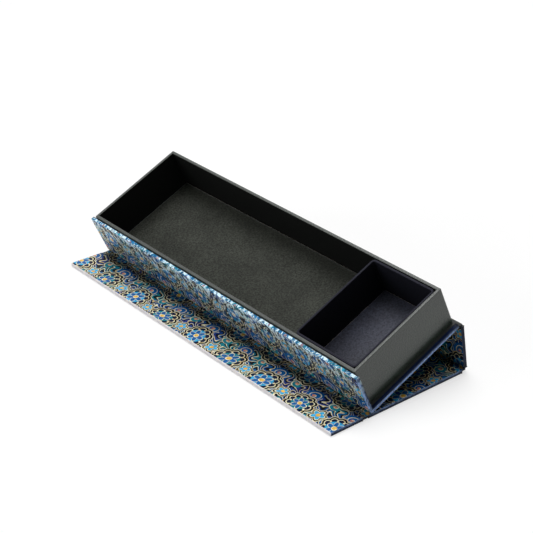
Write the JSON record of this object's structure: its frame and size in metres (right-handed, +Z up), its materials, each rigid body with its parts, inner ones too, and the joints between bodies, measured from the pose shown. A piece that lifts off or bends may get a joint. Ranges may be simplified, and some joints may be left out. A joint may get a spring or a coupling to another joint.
{
  "type": "hard pencil case",
  "caption": "Shallow open tray in a hinged wrap-round cover with a closing flap, folded back under it as a stand, and a loose inner tray at one end.",
  "frame": {"origin": "on the table, under the middle of the whole case as it stands folded back", "axes": "+X along the case towards the end with the loose insert, +Y from the closing flap to the spine, +Z up"},
  "size_m": [0.233, 0.0974, 0.0556],
  "materials": {
    "decorated_paper": "satin",
    "black_paper": "matte",
    "insert_paper": "matte",
    "grey_board": "matte",
    "magnet": "satin"
  },
  "bodies": {
    "tray": {"tray_floor_board": "grey_board", "tray_front_wall_board": "grey_board", "tray_back_wall_board": "grey_board", "tray_left_end_board": "grey_board", "tray_right_end_board": "grey_board", "tray_wrap_paper": "black_paper", "tray_wall_lining": "black_paper", "tray_floor_pad": "black_paper", "base_board": "grey_board", "front_board": "grey_board", "base_cover_paper": "decorated_paper", "base_lining": "black_paper", "front_magnet_left": "magnet", "front_magnet_right": "magnet", "spine_crease_strip": "decorated_paper"},
    "spine": {"spine_board": "grey_board", "spine_cover_paper": "decorated_paper", "spine_lining": "black_paper", "lid_crease_strip": "decorated_paper"},
    "lid": {"lid_board": "grey_board", "lid_cover_paper": "decorated_paper", "lid_lining": "black_paper", "flap_crease_strip": "decorated_paper"},
    "flap": {"flap_board": "grey_board", "flap_cover_paper": "decorated_paper", "flap_lining": "black_paper", "flap_magnet_left": "magnet", "flap_magnet_right": "magnet"},
    "insert": {"insert_walls": "grey_board", "insert_floor_board": "grey_board", "insert_wrap_paper": "insert_paper", "insert_floor_lining": "insert_paper"}
  },
  "joints": [
    {"name": "spine_crease", "type": "hinge", "parent": "tray", "child": "spine", "pos_m": [0, 0.04134, 0.03153], "axis": [1, 0, 0], "range_deg": [0, 194.12], "deforming": ["spine_crease_strip"]},
    {"name": "lid_crease", "type": "hinge", "parent": "spine", "child": "lid", "pos_m": [0, 0.04689, 0.00195], "axis": [1, 0, 0], "range_deg": [0, 190.63], "deforming": ["lid_crease_strip"]},
    {"name": "flap_crease", "type": "hinge", "parent": "lid", "child": "flap", "pos_m": [0, -0.02486, 0.00195], "axis": [1, 0, 0], "range_deg": [-60, 90], "deforming": ["flap_crease_strip"]},
    {"name": "insert_lift", "type": "slide", "parent": "tray", "child": "insert", "axis": [0, -0.4187, 0.9081], "range_m": [0, 0.04]}
  ]
}
